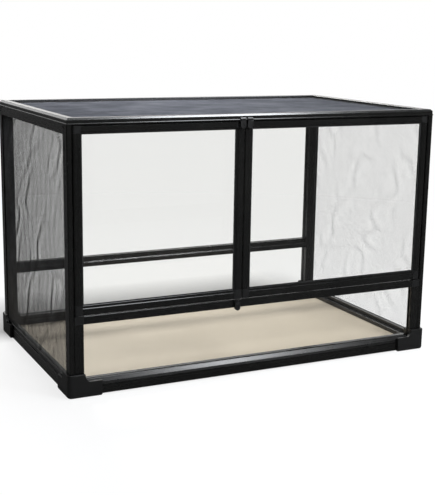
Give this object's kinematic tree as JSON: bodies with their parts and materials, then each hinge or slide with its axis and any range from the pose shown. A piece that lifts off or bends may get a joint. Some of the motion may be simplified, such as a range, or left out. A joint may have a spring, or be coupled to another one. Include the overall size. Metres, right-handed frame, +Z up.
{
  "type": "glass terrarium",
  "caption": "Front-opening reptile terrarium: black aluminium frame on corner boots, hinged glass doors over a fixed glass window, mesh sides and a lift-out mesh top.",
  "frame": {"origin": "middle of the footprint on the ground, under the corner boots", "axes": "+X to the viewer's right along the front, +Y from the doors to the rear glass, +Z up"},
  "size_m": [0.926, 0.558, 0.597],
  "materials": {
    "black_aluminium": "satin black anodised or powder-coated aluminium extrusion",
    "black_plastic": "fine-grained black moulded plastic",
    "black_rubber": "matt black extruded rubber",
    "clear_glass": "clear polished float glass",
    "grey_mesh": "fine dark grey woven screen",
    "dark_steel": "blackened steel",
    "floor_board": "plain beige-grey board"
  },
  "bodies": {
    "frame": {"front_left_boot": "black_plastic", "front_right_boot": "black_plastic", "rear_left_boot": "black_plastic", "rear_right_boot": "black_plastic", "front_base_rail": "black_aluminium", "rear_base_rail": "black_aluminium", "left_base_rail": "black_aluminium", "right_base_rail": "black_aluminium", "floor_panel": "floor_board", "front_left_post": "black_aluminium", "front_right_post": "black_aluminium", "rear_left_post": "black_aluminium", "rear_right_post": "black_aluminium", "left_window_jamb": "black_aluminium", "right_window_jamb": "black_aluminium", "sill_rail": "black_aluminium", "left_pivot_block": "black_plastic", "right_pivot_block": "black_plastic", "front_window_glass": "clear_glass", "rear_mid_rail": "black_aluminium", "rear_upper_rail": "black_aluminium", "rear_lower_glass": "clear_glass", "rear_upper_glass": "clear_glass", "left_upper_rail": "black_aluminium", "right_upper_rail": "black_aluminium", "left_side_mesh": "grey_mesh", "right_side_mesh": "grey_mesh", "left_mesh_spline": "black_rubber", "right_mesh_spline": "black_rubber", "front_top_rail": "black_aluminium", "rear_top_rail": "black_aluminium", "left_top_rail": "black_aluminium", "right_top_rail": "black_aluminium", "turn_button_screw": "dark_steel"},
    "top_screen": {"top_screen_frame": "black_aluminium", "top_mesh": "grey_mesh", "top_mesh_spline": "black_rubber"},
    "left_door": {"left_door_hinge_stile": "black_aluminium", "left_door_meeting_stile": "black_aluminium", "left_door_top_rail": "black_aluminium", "left_door_bottom_rail": "black_aluminium", "left_door_hinge_top_corner": "black_plastic", "left_door_hinge_bottom_corner": "black_plastic", "left_door_meeting_top_corner": "black_plastic", "left_door_meeting_bottom_corner": "black_plastic", "left_door_glass": "clear_glass", "left_door_gasket": "black_rubber"},
    "right_door": {"right_door_hinge_stile": "black_aluminium", "right_door_meeting_stile": "black_aluminium", "right_door_top_rail": "black_aluminium", "right_door_bottom_rail": "black_aluminium", "right_door_hinge_top_corner": "black_plastic", "right_door_hinge_bottom_corner": "black_plastic", "right_door_meeting_top_corner": "black_plastic", "right_door_meeting_bottom_corner": "black_plastic", "right_door_glass": "clear_glass", "right_door_gasket": "black_rubber"},
    "left_bolt": {"left_slide_bolt": "black_plastic"},
    "right_bolt": {"right_slide_bolt": "black_plastic"},
    "button": {"turn_button": "black_plastic"}
  },
  "joints": [
    {"name": "top_screen_lift", "type": "slide", "parent": "frame", "child": "top_screen", "axis": [0, 0, 1], "range_m": [0, 0.06]},
    {"name": "left_door_hinge", "type": "hinge", "parent": "frame", "child": "left_door", "pos_m": [-0.4391, -0.267, 0.381], "axis": [0, 0, -1], "range_deg": [0, 100]},
    {"name": "right_door_hinge", "type": "hinge", "parent": "frame", "child": "right_door", "pos_m": [0.4391, -0.267, 0.381], "axis": [0, 0, 1], "range_deg": [0, 100]},
    {"name": "left_bolt_slide", "type": "slide", "parent": "left_door", "child": "left_bolt", "axis": [0, 0, 1], "range_m": [0, 0.006]},
    {"name": "right_bolt_slide", "type": "slide", "parent": "right_door", "child": "right_bolt", "axis": [0, 0, 1], "range_m": [0, 0.006]},
    {"name": "turn_button_pivot", "type": "hinge", "parent": "frame", "child": "button", "pos_m": [-0.062, -0.273, 0.1725], "axis": [0, 1, 0], "range_deg": [0, 180]}
  ]
}
